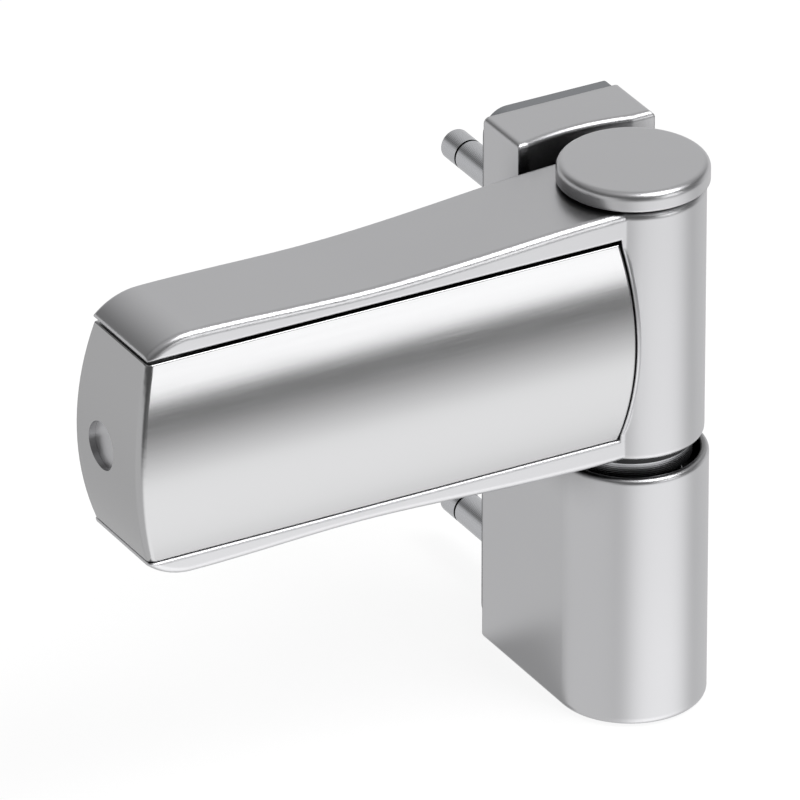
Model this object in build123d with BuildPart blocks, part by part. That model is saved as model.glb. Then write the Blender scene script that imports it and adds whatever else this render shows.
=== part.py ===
"""Two-part adjustable hinge for an entrance door, in millimetres with +Z up.

The origin lies on the mounting face of the frame side, midway between the two studs.
+Y points into the door frame and the closed leaf reaches along -X.
"""
import os
from math import cos, radians, tan

from build123d import *

# Clearances
RUN_FIT = 0.03          # radial play of turned fits
SEAT_FIT = 0.02         # radial play of pressed or screwed pieces
AXIAL_FIT = 0.05        # play between thrust faces
CLEAR = 0.3             # room between pieces that only pass each other

# Frame housing
AXIS_DEPTH = 26.4       # barrel axis in front of the mounting face
BLOCK_R = 11.75         # rounded front of the housing, half its width
BLOCK_H = 41.95         # lower block, underside to rim
FOOT_R = 1.2            # rounding round the underside
RIM_WALL = 1.35         # wall around the recess in the rim
RIM_R = 0.75            # rounding of the rim's outer edge
RIM_IN_R = 0.3
RECESS_DEPTH = 4.0
WEB_H = 88.9            # top of the rear web above the underside
WEB_GAP = 2.9           # knuckle to the flat front of the web
WEB_CORNER_R = 1.2      # upright front corners of the web
WEB_EDGE_R = 1.0        # its top edges
SCOOP_W = 17.9          # hollow in the web that the knuckle turns in
SCOOP_DEPTH = 1.15
SCOOP_SHIFT = 1.05      # hollow's middle towards the leaf
SCOOP_R = 2.0           # rounding where the hollow meets the flats

# Base plate and studs
PLATE_T = 2.0
PLATE_INSET = 1.0
PLATE_ROUND = 4.0       # corners on the leaf side
PLATE_CORNER = 0.8      # corners on the far side
STUD_SPACING = 61.0
STUD_RISE = 7.5         # lower stud above the underside
STUD_D = 5.0
STUD_REACH = 28.0       # beyond the mounting face
STUD_GRIP = 7.0         # length inside the housing
STUD_GRIP_D = 5.6       # thicker there and in the plate
STUD_TIP = 4.6
STUD_GROOVE_W = 0.45
STUD_GROOVE_DEPTH = 0.4
STUD_CHAMFER = 0.5

# Pin and adjusters in the lower block
PIN_D = 10.0
PIN_CHAMFER = 0.8
PIN_COVER = 5.0         # pin's top below the knuckle's top
COLLAR_T = 2.3
COLLAR_GAP = 1.2        # collar to the wall of the recess
SLEEVE_WALL = 1.44
SLEEVE_LIP_T = 1.0
SLEEVE_LIP_W = 1.1
ECCENTRICITY = 0.8
ECC_WALL = 1.17         # thinnest wall of the eccentric
ECC_NOTCH_W = 2.4       # spanner notches in the eccentric's top
ECC_NOTCH_DEPTH = 1.6
LOWER_TRAVEL = 1.0      # the leaf can be set this much lower
RAISE_TRAVEL = 3.0      # and this much higher
SCREW_D = 10.0          # height screw
SCREW_L = 9.0
SCREW_SUNK = 1.5
SCREW_HEX = 5.0         # across flats
SCREW_HEX_DEPTH = 4.5
SCREW_CHAMFER = 0.7
PAD_T = 2.8
PAD_LIP = 1.2           # pad beyond the pin at its farthest setting
PAD_CHAMFER = 0.4
LOCK_D = 5.0
LOCK_SUNK = 0.8
LOCK_HEX = 2.5
LOCK_HEX_DEPTH = 1.6

# Knuckle, bushes and cap
SWING_GAP = 2.8         # rim to knuckle
KNUCKLE_R = 11.0
KNUCKLE_H = 41.6
KNUCKLE_EDGE_R = 1.0
BUSH_WALL = 1.9
BUSH_L = 15.0
BUSH_FLANGE_T = 1.2
CAP_LIP = 0.56          # cap beyond the knuckle
CAP_T = 2.9
CAP_EDGE_R = 1.2
CAP_SHADOW = 0.65       # gap under the cap's edge
CAP_SHADOW_W = 1.3
CAP_SPIGOT = 3.0

# Leaf arm
ARM_FRONT = 9.0         # flange fronts ahead of the barrel axis
ARM_TAPER = 2.0         # degrees, rear edge from the knuckle to the tip
ARM_DROP = 0.25         # arm's middle below the knuckle's
ARM_TIP = 86.6          # flange tips from the barrel axis
OPENING_H = 33.5        # between the flanges
TIP_L = 7.2             # rounded tip of the flanges
NECK_AT = 0.334         # neck's place, as a share of the way to the rounded tip
NECK_SHARE = 0.84       # flange thickness there, as a share of that at the knuckle
WAIST_AT = 0.633
WAIST_SHARE = 0.605
TAIL_SHARE = 0.79
TIP_T = 0.5
FRONT_EDGE_R = 1.15     # outer front edges of the flanges
REAR_EDGE_R = 0.5
INNER_EDGE_R = 0.4      # their front edges beside the cover
WALL_FRONT = 4.2        # rear wall's front behind the barrel axis
WALL_T = 3.5
CORE_WALL = 2.35        # knuckle tube left inside the pocket
RIB_INSET = 6.6         # screw's bearing rib from the flange tips
RIB_T = 5.0
RIB_FRONT = 6.0         # rib's front ahead of the barrel axis

# Front cover
COVER_GAP = 0.25        # beside the knuckle
COVER_GAP_TOP = 0.65
COVER_GAP_LOW = 0.1
COVER_T = 1.5
COVER_SUNK = 0.3        # cover's edges behind the flange fronts
COVER_BULGE = 3.2
COVER_EDGE_R = 0.35
END_BULGE = 3.2
END_EDGE_R = 1.2
END_BACK = 0.4          # end wall short of the arm's rear edge
ROOT_X = 7.3            # cover's corners beside the knuckle
ROOT_BULGE = 1.2
LIP_W = 1.2             # lip of the knuckle around the cover
LIP_LAND = 0.15         # flat left beside the lip's rounding
COVER_RIB_SPACING = 40.0
COVER_RIB_GAP = 7.0     # far stiffening rib from the bearing rib
COVER_RIB_T = 1.6
COVER_RIB_H = 3.0
PLUG_D = 7.6
PLUG_SUNK = 1.1         # plug's face behind the cover's end
PLUG_FLANGE_W = 0.9
PLUG_FLANGE_T = 0.8

# Sash plate and lateral adjuster
SASH_GAP = 0.3          # door face behind the knuckle
SASH_T = 3.3
SASH_FROM = 15.5        # near end from the barrel axis
SASH_SHORT = 1.5        # far end short of the bearing rib's outer face
SASH_EDGE_GAP = 0.65
SASH_CORNER = 3.0
SASH_HOLE_D = 5.3
SASH_HEAD_D = 10.0
SASH_HOLE_END = 8.5     # hole from the plate's end
SASH_HEAD_EDGE = 1.1    # countersink from its long edge
LATERAL_TRAVEL = 3.0    # each way
LATERAL_D = 6.0
LATERAL_L = 24.0        # thread beyond the rib
LATERAL_HEAD_D = 9.0
LATERAL_HEAD_T = 3.0
LATERAL_HEX = 4.0
LATERAL_HEX_DEPTH = 2.2
CLIP_D = 7.6
CLIP_T = 1.0
CLIP_GROOVE = 0.6
NUT_INSET = 15.0        # slide nut's middle from the bearing rib
NUT_L = 10.0
NUT_H = 10.0
NUT_FRONT = 4.6         # nut's front ahead of the barrel axis
NUT_TENON = 6.0
CLAMP_INSET = 13.0      # clamp screws from the nut's middle
CLAMP_D = 5.0
CLAMP_HEAD_D = 8.5
CLAMP_HEAD_T = 3.2
CLAMP_HEX = 4.0
CLAMP_HEX_DEPTH = 2.2
WASHER_D = 10.0
WASHER_T = 1.2
WASHER_GAP = 0.6        # washer to the flange
SLOT_PLAY = 0.4

# Levels
AXIS_Y = -AXIS_DEPTH
HOUSING_BACK = -PLATE_T
BASE_Z = -(STUD_SPACING / 2 + STUD_RISE)
RIM_Z = BASE_Z + BLOCK_H
WEB_Z = BASE_Z + WEB_H
WEB_FRONT = AXIS_Y + KNUCKLE_R + WEB_GAP
RECESS_Z = RIM_Z - RECESS_DEPTH
KNUCKLE_Z = RIM_Z + SWING_GAP
KNUCKLE_TOP = KNUCKLE_Z + KNUCKLE_H
ARM_Z = KNUCKLE_Z + KNUCKLE_H / 2 - ARM_DROP
SCREW_Z = BASE_Z + SCREW_SUNK
PAD_Z = SCREW_Z + SCREW_L + AXIAL_FIT
PIN_Z = PAD_Z + PAD_T + AXIAL_FIT
FLOOR_Z = PAD_Z - LOWER_TRAVEL - CLEAR
SHOULDER_Z = PIN_Z + RAISE_TRAVEL + CLEAR
ECC_Z = SHOULDER_Z + AXIAL_FIT
LIP_Z = RECESS_Z + AXIAL_FIT
COLLAR_TOP = KNUCKLE_Z - BUSH_FLANGE_T - AXIAL_FIT
PIN_TOP = KNUCKLE_TOP - PIN_COVER
LOCK_Z = (ECC_Z + RECESS_Z) / 2

# Radii of the fits around the pin
PIN_R = PIN_D / 2
SLEEVE_IN = PIN_R + RUN_FIT
SLEEVE_OUT = SLEEVE_IN + SLEEVE_WALL
ECC_IN = SLEEVE_OUT + RUN_FIT
ECC_OUT = ECC_IN + ECCENTRICITY + ECC_WALL
RECESS_R = BLOCK_R - RIM_WALL
COLLAR_R = RECESS_R - COLLAR_GAP
PAD_R = PIN_R + ECCENTRICITY + PAD_LIP
BUSH_IN = PIN_R + RUN_FIT
BUSH_OUT = BUSH_IN + BUSH_WALL
KNUCKLE_BORE = BUSH_OUT + SEAT_FIT
CORE_R = KNUCKLE_BORE + CORE_WALL

# Arm and cover outlines
OPENING = OPENING_H / 2
ROOT_T = KNUCKLE_H / 2 - OPENING
TAIL_X = ARM_TIP - TIP_L
NECK_X = NECK_AT * TAIL_X
WAIST_X = WAIST_AT * TAIL_X
NECK_T = NECK_SHARE * ROOT_T
WAIST_T = WAIST_SHARE * ROOT_T
TAIL_T = TAIL_SHARE * ROOT_T
RIB_X = ARM_TIP - RIB_INSET - RIB_T
RIB_OUT = -(RIB_X + RIB_T)
NUT_X = RIB_X - NUT_INSET
CLAMP_X = NUT_X - CLAMP_INSET
CLAMP_Z = OPENING_H - WASHER_D - 2 * WASHER_GAP
COVER_HALF = OPENING - (COVER_GAP_TOP + COVER_GAP_LOW) / 2
COVER_DROP = (COVER_GAP_TOP - COVER_GAP_LOW) / 2
COVER_Z = ARM_Z - COVER_DROP
FLANGE_FRONT = AXIS_Y - ARM_FRONT
COVER_EDGE = FLANGE_FRONT + COVER_SUNK
COVER_CROWN = COVER_EDGE - COVER_BULGE
COVER_END = ARM_TIP + END_BULGE
WALL_BACK = WALL_FRONT + WALL_T
TIP_BACK = KNUCKLE_R / cos(radians(ARM_TAPER)) - ARM_TIP * tan(radians(ARM_TAPER))
SASH_BACK = AXIS_Y + KNUCKLE_R + SASH_GAP
SASH_FRONT = SASH_BACK - SASH_T
SASH_L = -RIB_OUT - SASH_SHORT - SASH_FROM
SASH_X = -(SASH_FROM + SASH_L / 2)
SASH_H = OPENING_H - 2 * SASH_EDGE_GAP
SASH_HOLE_X = SASH_L - 2 * SASH_HOLE_END
SASH_HOLE_Z = SASH_H - SASH_HEAD_D - 2 * SASH_HEAD_EDGE
SCREW_AXIS = Axis((0, AXIS_Y, ARM_Z), (1, 0, 0))
PLUG_AXIS = Axis((0, AXIS_Y, COVER_Z), (1, 0, 0))
BARREL = Axis((0, AXIS_Y, 0), (0, 0, 1))

# Working planes; the arm's have X along the arm and local Y up from its middle
arm_front = Plane(origin=(0, FLANGE_FRONT, ARM_Z), x_dir=(1, 0, 0), z_dir=(0, -1, 0))
wall_front = Plane(origin=(0, AXIS_Y + WALL_FRONT, ARM_Z), x_dir=(1, 0, 0), z_dir=(0, -1, 0))
wall_back = Plane(origin=(0, AXIS_Y + WALL_BACK, ARM_Z), x_dir=(1, 0, 0), z_dir=(0, -1, 0))
cover_back = Plane(origin=(0, AXIS_Y + WALL_BACK, COVER_Z), x_dir=(1, 0, 0), z_dir=(0, -1, 0))
sash_back = Plane(origin=(0, SASH_BACK, ARM_Z), x_dir=(1, 0, 0), z_dir=(0, -1, 0))
sash_front = Plane(origin=(0, SASH_FRONT, ARM_Z), x_dir=(1, 0, 0), z_dir=(0, -1, 0))
barrel_section = Plane(origin=(0, AXIS_Y, 0), x_dir=(1, 0, 0), z_dir=(0, -1, 0))
screw_section = Plane(origin=(0, AXIS_Y, ARM_Z), x_dir=(1, 0, 0), z_dir=(0, 0, 1))
plug_section = Plane(origin=(0, AXIS_Y, COVER_Z), x_dir=(1, 0, 0), z_dir=(0, 0, 1))

# Frame housing: lower block with the web behind the knuckle
HOLLOW_R = (SCOOP_W**2 / 4 + SCOOP_DEPTH**2) / (2 * SCOOP_DEPTH)
with BuildPart() as frame_housing:
    with BuildSketch(Plane.XY.offset(BASE_Z)):
        with Locations((0, AXIS_Y)):
            Circle(BLOCK_R)
            Rectangle(2 * BLOCK_R, HOUSING_BACK - AXIS_Y, align=(Align.CENTER, Align.MIN))
    extrude(amount=BLOCK_H)
    with BuildSketch(Plane.XY.offset(RIM_Z)) as web_plan:
        with Locations((0, HOUSING_BACK)):
            Rectangle(2 * BLOCK_R, HOUSING_BACK - WEB_FRONT, align=(Align.CENTER, Align.MAX))
        with Locations((-SCOOP_SHIFT, WEB_FRONT + SCOOP_DEPTH - HOLLOW_R)):
            Circle(HOLLOW_R, mode=Mode.SUBTRACT)
        front_points = web_plan.vertices().group_by(Axis.Y)[0].sort_by(Axis.X)
        fillet(front_points[1:-1], SCOOP_R)
        fillet([front_points[0], front_points[-1]], WEB_CORNER_R)
    extrude(amount=WEB_Z - RIM_Z)
    under = frame_housing.faces().sort_by(Axis.Z)[0].edges().sort_by(Axis.Y)
    fillet(under[:-1], FOOT_R)
    rim_face = frame_housing.faces().filter_by(Axis.Z).filter_by_position(Axis.Z, RIM_Z, RIM_Z)[0]
    fillet(rim_face.edges().filter_by(lambda e: e.center().Y < WEB_FRONT - WEB_GAP / 2), RIM_R)
    crest = frame_housing.faces().sort_by(Axis.Z)[-1].edges().sort_by(Axis.Y)
    fillet(crest[:-1], WEB_EDGE_R)
    with BuildSketch(Plane.XY.offset(RIM_Z)):
        with Locations((0, AXIS_Y)):
            Circle(RECESS_R)
    extrude(amount=-RECESS_DEPTH, mode=Mode.SUBTRACT)
    rim_edges = frame_housing.edges().filter_by_position(Axis.Z, RIM_Z, RIM_Z).filter_by(GeomType.CIRCLE)
    fillet(rim_edges.filter_by(lambda e: abs(e.radius - RECESS_R) < SEAT_FIT), RIM_IN_R)
    with BuildSketch(Plane.XY.offset(RECESS_Z)):
        with Locations((-ECCENTRICITY, AXIS_Y)):
            Circle(ECC_OUT + RUN_FIT)
    extrude(amount=SHOULDER_Z - RECESS_Z, mode=Mode.SUBTRACT)
    with BuildSketch(Plane.XY.offset(SHOULDER_Z)):
        with Locations((0, AXIS_Y)):
            Circle(PAD_R + CLEAR)
    extrude(amount=FLOOR_Z - SHOULDER_Z, mode=Mode.SUBTRACT)
    with BuildSketch(Plane.XY.offset(FLOOR_Z)):
        with Locations((0, AXIS_Y)):
            Circle(SCREW_D / 2 + RUN_FIT)
    extrude(amount=BASE_Z - FLOOR_Z, mode=Mode.SUBTRACT)
    with BuildSketch(Plane.YZ.offset(BLOCK_R)):
        with Locations((AXIS_Y, LOCK_Z)):
            Circle(LOCK_D / 2 + SEAT_FIT)
    extrude(amount=-BLOCK_R, mode=Mode.SUBTRACT)
    with BuildSketch(Plane.XZ.offset(-HOUSING_BACK)):
        with GridLocations(0, STUD_SPACING, 1, 2):
            Circle(STUD_GRIP_D / 2 + SEAT_FIT)
    extrude(amount=STUD_GRIP, mode=Mode.SUBTRACT)
frame_housing.part.label = "frame_housing"

# Base plate
PLATE_W = 2 * (BLOCK_R - PLATE_INSET)
PLATE_Z = BASE_Z + PLATE_INSET
with BuildPart() as base_plate:
    with BuildSketch(Plane.XZ) as plate_face:
        with Locations((0, (PLATE_Z + WEB_Z) / 2)):
            Rectangle(PLATE_W, WEB_Z - PLATE_Z)
        fillet(plate_face.vertices().group_by(Axis.X)[0], PLATE_ROUND)
        fillet(plate_face.vertices().group_by(Axis.X)[-1], PLATE_CORNER)
        with GridLocations(0, STUD_SPACING, 1, 2):
            Circle(STUD_GRIP_D / 2 + SEAT_FIT, mode=Mode.SUBTRACT)
    extrude(amount=PLATE_T)
base_plate.part.label = "base_plate"

# Studs, turned with a groove before the tip
STUD_R = STUD_D / 2
GROOVE_R = STUD_R - STUD_GROOVE_DEPTH
TIP_Y = STUD_REACH - STUD_TIP
with BuildSketch(Plane.XY) as stud_profile:
    with BuildLine():
        Polyline(
            (0, HOUSING_BACK - STUD_GRIP),
            (STUD_GRIP_D / 2, HOUSING_BACK - STUD_GRIP),
            (STUD_GRIP_D / 2, 0),
            (STUD_R, 0),
            (STUD_R, TIP_Y - STUD_GROOVE_W),
            (GROOVE_R, TIP_Y - STUD_GROOVE_W),
            (GROOVE_R, TIP_Y),
            (STUD_R, TIP_Y),
            (STUD_R, STUD_REACH - STUD_CHAMFER),
            (STUD_R - STUD_CHAMFER, STUD_REACH),
            (0, STUD_REACH),
            close=True,
        )
    make_face()
with BuildPart() as upper_stud:
    with Locations((0, 0, STUD_SPACING / 2)):
        add(revolve(stud_profile.sketch, axis=Axis.Y, mode=Mode.PRIVATE))
upper_stud.part.label = "upper_stud"
with BuildPart() as lower_stud:
    with Locations((0, 0, -STUD_SPACING / 2)):
        add(revolve(stud_profile.sketch, axis=Axis.Y, mode=Mode.PRIVATE))
lower_stud.part.label = "lower_stud"

# Set screw that holds the eccentric
LOCK_IN = ECC_OUT - ECCENTRICITY + CLEAR
with BuildPart() as lock_screw:
    with BuildSketch(Plane.YZ.offset(LOCK_IN)):
        with Locations((AXIS_Y, LOCK_Z)):
            Circle(LOCK_D / 2)
    extrude(amount=BLOCK_R - LOCK_SUNK - LOCK_IN)
    with BuildSketch(Plane.YZ.offset(BLOCK_R - LOCK_SUNK)):
        with Locations((AXIS_Y, LOCK_Z)):
            RegularPolygon(LOCK_HEX / 2, 6, major_radius=False)
    extrude(amount=-LOCK_HEX_DEPTH, mode=Mode.SUBTRACT)
lock_screw.part.label = "lock_screw"

# Height screw in the housing's floor
with BuildPart() as height_screw:
    with BuildSketch(Plane.XY.offset(SCREW_Z)):
        with Locations((0, AXIS_Y)):
            Circle(SCREW_D / 2)
    extrude(amount=SCREW_L)
    chamfer(height_screw.edges(), SCREW_CHAMFER)
    with BuildSketch(Plane.XY.offset(SCREW_Z)):
        with Locations((0, AXIS_Y)):
            RegularPolygon(SCREW_HEX / 2, 6, major_radius=False)
    extrude(amount=SCREW_HEX_DEPTH, mode=Mode.SUBTRACT)
height_screw.part.label = "height_screw"

# Thrust pad between the screw and the pin
with BuildPart() as thrust_pad:
    with BuildSketch(Plane.XY.offset(PAD_Z)):
        with Locations((0, AXIS_Y)):
            Circle(PAD_R)
    extrude(amount=PAD_T)
    chamfer(thrust_pad.edges(), PAD_CHAMFER)
thrust_pad.part.label = "thrust_pad"

# Eccentric bush, with spanner notches in its top
with BuildPart() as eccentric_bush:
    with BuildSketch(Plane.XY.offset(ECC_Z)):
        with Locations((-ECCENTRICITY, AXIS_Y)):
            Circle(ECC_OUT)
        with Locations((0, AXIS_Y)):
            Circle(ECC_IN, mode=Mode.SUBTRACT)
    extrude(amount=RECESS_Z - ECC_Z)
    with BuildSketch(Plane.XY.offset(RECESS_Z)):
        with Locations((-ECCENTRICITY, AXIS_Y)):
            Rectangle(2 * ECC_OUT, ECC_NOTCH_W)
            Rectangle(ECC_NOTCH_W, 2 * ECC_OUT)
    extrude(amount=-ECC_NOTCH_DEPTH, mode=Mode.SUBTRACT)
eccentric_bush.part.label = "eccentric_bush"

# Pin sleeve, hung by its lip on the eccentric
with BuildPart() as pin_sleeve:
    with BuildSketch(barrel_section):
        with BuildLine():
            Polyline(
                (SLEEVE_IN, ECC_Z),
                (SLEEVE_OUT, ECC_Z),
                (SLEEVE_OUT, LIP_Z),
                (SLEEVE_OUT + SLEEVE_LIP_W, LIP_Z),
                (SLEEVE_OUT + SLEEVE_LIP_W, LIP_Z + SLEEVE_LIP_T),
                (SLEEVE_IN, LIP_Z + SLEEVE_LIP_T),
                close=True,
            )
        make_face()
    revolve(axis=BARREL)
pin_sleeve.part.label = "pin_sleeve"

# Hinge pin, turned in one piece with its collar
with BuildPart() as hinge_pin:
    with BuildSketch(barrel_section):
        with BuildLine():
            Polyline(
                (0, PIN_Z),
                (PIN_R - PIN_CHAMFER, PIN_Z),
                (PIN_R, PIN_Z + PIN_CHAMFER),
                (PIN_R, COLLAR_TOP - COLLAR_T),
                (COLLAR_R, COLLAR_TOP - COLLAR_T),
                (COLLAR_R, COLLAR_TOP),
                (PIN_R, COLLAR_TOP),
                (PIN_R, PIN_TOP - PIN_CHAMFER),
                (PIN_R - PIN_CHAMFER, PIN_TOP),
                (0, PIN_TOP),
                close=True,
            )
        make_face()
    revolve(axis=BARREL)
hinge_pin.part.label = "hinge_pin"

# Bearing bushes in the knuckle
with BuildPart() as lower_bush:
    with BuildSketch(barrel_section):
        with BuildLine():
            Polyline(
                (BUSH_IN, KNUCKLE_Z - BUSH_FLANGE_T),
                (COLLAR_R, KNUCKLE_Z - BUSH_FLANGE_T),
                (COLLAR_R, KNUCKLE_Z),
                (BUSH_OUT, KNUCKLE_Z),
                (BUSH_OUT, KNUCKLE_Z + BUSH_L),
                (BUSH_IN, KNUCKLE_Z + BUSH_L),
                close=True,
            )
        make_face()
    revolve(axis=BARREL)
lower_bush.part.label = "lower_bush"
with BuildPart() as upper_bush:
    with BuildSketch(Plane.XY.offset(PIN_TOP - BUSH_L)):
        with Locations((0, AXIS_Y)):
            Circle(BUSH_OUT)
            Circle(BUSH_IN, mode=Mode.SUBTRACT)
    extrude(amount=BUSH_L)
upper_bush.part.label = "upper_bush"

# Top cap with its spigot and shadow gap
CAP_R = KNUCKLE_R + CAP_LIP
CAP_Z = KNUCKLE_TOP + CAP_SHADOW
with BuildPart() as top_cap:
    with BuildSketch(barrel_section) as cap_profile:
        with BuildLine():
            Polyline(
                (0, KNUCKLE_TOP - CAP_SPIGOT),
                (KNUCKLE_BORE - SEAT_FIT, KNUCKLE_TOP - CAP_SPIGOT),
                (KNUCKLE_BORE - SEAT_FIT, KNUCKLE_TOP),
                (KNUCKLE_R - CAP_SHADOW_W, KNUCKLE_TOP),
                (KNUCKLE_R - CAP_SHADOW_W, CAP_Z),
                (CAP_R, CAP_Z),
                (CAP_R, CAP_Z + CAP_T),
                (0, CAP_Z + CAP_T),
                close=True,
            )
        make_face()
        fillet(cap_profile.vertices().sort_by(Axis.X)[-2:].sort_by(Axis.Y)[-1], CAP_EDGE_R)
    revolve(axis=BARREL)
top_cap.part.label = "top_cap"

# Lip that stands up around the cover's end beside the knuckle
COVER_R = (COVER_HALF**2 + COVER_BULGE**2) / (2 * COVER_BULGE)
LIP_LOW = COVER_R - (COVER_R**2 - (OPENING - COVER_DROP) ** 2) ** 0.5
LIP_HIGH = COVER_R - (COVER_R**2 - (OPENING + COVER_DROP) ** 2) ** 0.5
with BuildPart() as knuckle_lip:
    with BuildSketch(Plane.YZ.offset(-KNUCKLE_R)):
        with BuildLine():
            bow = ThreePointArc(
                (COVER_CROWN + LIP_LOW, ARM_Z - OPENING),
                (COVER_CROWN, COVER_Z),
                (COVER_CROWN + LIP_HIGH, ARM_Z + OPENING),
            )
            Polyline(bow @ 1, (AXIS_Y, ARM_Z + OPENING), (AXIS_Y, ARM_Z - OPENING), bow @ 0)
        make_face()
    extrude(amount=KNUCKLE_R)
    with BuildSketch(wall_front):
        with BuildLine():
            lip_edge = ThreePointArc(
                (LIP_W - ROOT_X, OPENING), (ROOT_BULGE + LIP_W - ROOT_X, 0), (LIP_W - ROOT_X, -OPENING)
            )
            Polyline(lip_edge @ 1, (-KNUCKLE_R, -OPENING), (-KNUCKLE_R, OPENING), lip_edge @ 0)
        make_face()
    extrude(amount=WALL_FRONT + AXIS_DEPTH, mode=Mode.INTERSECT)
    proud = knuckle_lip.faces().sort_by(Axis.Y)[0].edges().sort_by(Axis.X)[-1]
    fillet(proud, LIP_W - COVER_GAP - LIP_LAND)

# Knuckle barrel with rounded ends
with BuildPart() as knuckle_barrel:
    with BuildSketch(Plane.XY.offset(KNUCKLE_Z)):
        with Locations((0, AXIS_Y)):
            Circle(KNUCKLE_R)
    extrude(amount=KNUCKLE_H)
    fillet(knuckle_barrel.edges().filter_by(GeomType.CIRCLE), KNUCKLE_EDGE_R)

# Leaf body: knuckle, waisted flanges, rear wall and the rib that bears the lateral screw
KNUCKLE_RISE = KNUCKLE_TOP - ARM_Z
KNUCKLE_FALL = KNUCKLE_Z - ARM_Z
with BuildPart() as leaf_body:
    with BuildSketch(arm_front):
        with BuildLine():
            for side, end in ((1, KNUCKLE_RISE), (-1, KNUCKLE_FALL)):
                Polyline((0, 0), (0, end), (-KNUCKLE_R / 2, end))
                sweep = Spline(
                    (-KNUCKLE_R / 2, end),
                    (-NECK_X, side * (OPENING + NECK_T)),
                    (-WAIST_X, side * (OPENING + WAIST_T)),
                    (-TAIL_X, side * (OPENING + TAIL_T)),
                    tangents=((-1, 0), (-1, 0)),
                )
                nose = TangentArc(sweep @ 1, (-ARM_TIP, side * (OPENING + TIP_T)), tangent=(-1, 0))
                Line(nose @ 1, (-ARM_TIP, 0))
        make_face()
    extrude(amount=-(ARM_FRONT + KNUCKLE_R))
    with BuildSketch(Plane.XY.offset(KNUCKLE_Z)):
        with BuildLine():
            Polyline(
                (-ARM_TIP, AXIS_Y + TIP_BACK),
                (0, AXIS_Y + KNUCKLE_R / cos(radians(ARM_TAPER))),
                (0, AXIS_Y + 2 * KNUCKLE_R),
                (-ARM_TIP, AXIS_Y + 2 * KNUCKLE_R),
                close=True,
            )
        make_face()
    extrude(amount=KNUCKLE_H, mode=Mode.SUBTRACT)
    for ahead, radius in ((True, FRONT_EDGE_R), (False, REAR_EDGE_R)):
        outer = leaf_body.edges().filter_by(
            lambda e: abs(e.center().Z - ARM_Z) > OPENING + WAIST_T / 2 and e.length > NECK_X
        )
        fillet(outer.filter_by(lambda e: (e.center().Y < AXIS_Y) == ahead), radius)
    add(knuckle_barrel.part)
    add(knuckle_lip.part)
    with BuildSketch(wall_front):
        with BuildLine():
            root = ThreePointArc(
                (COVER_GAP - ROOT_X, OPENING),
                (COVER_GAP + ROOT_BULGE - ROOT_X, 0),
                (COVER_GAP - ROOT_X, -OPENING),
            )
            Polyline(root @ 1, (-COVER_END, -OPENING), (-COVER_END, OPENING), root @ 0)
        make_face()
    extrude(amount=WALL_FRONT + AXIS_DEPTH, mode=Mode.SUBTRACT)
    with BuildSketch(Plane.YZ.offset(-COVER_END)):
        for side in (1, -1):
            with BuildLine():
                inside = ARM_Z + side * (OPENING - INNER_EDGE_R)
                round_end = ARM_Z + side * (OPENING + INNER_EDGE_R)
                turn = RadiusArc(
                    (FLANGE_FRONT, round_end),
                    (FLANGE_FRONT + INNER_EDGE_R, ARM_Z + side * OPENING),
                    -side * INNER_EDGE_R,
                )
                Polyline(
                    turn @ 1,
                    (FLANGE_FRONT + INNER_EDGE_R, inside),
                    (FLANGE_FRONT - INNER_EDGE_R, inside),
                    (FLANGE_FRONT - INNER_EDGE_R, round_end),
                    turn @ 0,
                )
            make_face()
    extrude(amount=COVER_END + COVER_GAP - ROOT_X, mode=Mode.SUBTRACT)
    with BuildSketch(wall_back):
        with Locations((-KNUCKLE_R, 0)):
            Rectangle(COVER_END, OPENING_H, align=(Align.MAX, Align.CENTER))
    extrude(amount=-KNUCKLE_R, mode=Mode.SUBTRACT)
    with BuildSketch(wall_front):
        with Locations((RIB_OUT, 0)):
            Rectangle(COVER_END, OPENING_H, align=(Align.MAX, Align.CENTER))
    extrude(amount=-WALL_T, mode=Mode.SUBTRACT)
    with BuildSketch(Plane.XY.offset(KNUCKLE_Z)):
        with Locations((0, AXIS_Y)):
            Circle(CORE_R)
    extrude(amount=KNUCKLE_H)
    with BuildSketch(wall_back):
        with Locations((RIB_OUT, 0)):
            Rectangle(RIB_T, OPENING_H, align=(Align.MIN, Align.CENTER))
    extrude(amount=WALL_BACK + RIB_FRONT)
    with BuildSketch(Plane.XY.offset(KNUCKLE_Z)):
        with Locations((0, AXIS_Y)):
            Circle(KNUCKLE_BORE)
    extrude(amount=KNUCKLE_H, mode=Mode.SUBTRACT)
    with BuildSketch(Plane.YZ.offset(RIB_OUT)):
        with Locations((AXIS_Y, ARM_Z)):
            Circle(LATERAL_D / 2 + RUN_FIT)
    extrude(amount=RIB_T, mode=Mode.SUBTRACT)
    with BuildSketch(wall_back):
        with Locations((-NUT_X, 0)):
            Rectangle(NUT_L + 2 * (LATERAL_TRAVEL + SLOT_PLAY), NUT_H + 2 * SLOT_PLAY)
        with Locations((-CLAMP_X, 0)):
            with GridLocations(0, CLAMP_Z, 1, 2):
                SlotCenterToCenter(2 * LATERAL_TRAVEL, CLAMP_D + 2 * SLOT_PLAY)
    extrude(amount=WALL_T, mode=Mode.SUBTRACT)
leaf_body.part.label = "leaf_body"

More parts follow.
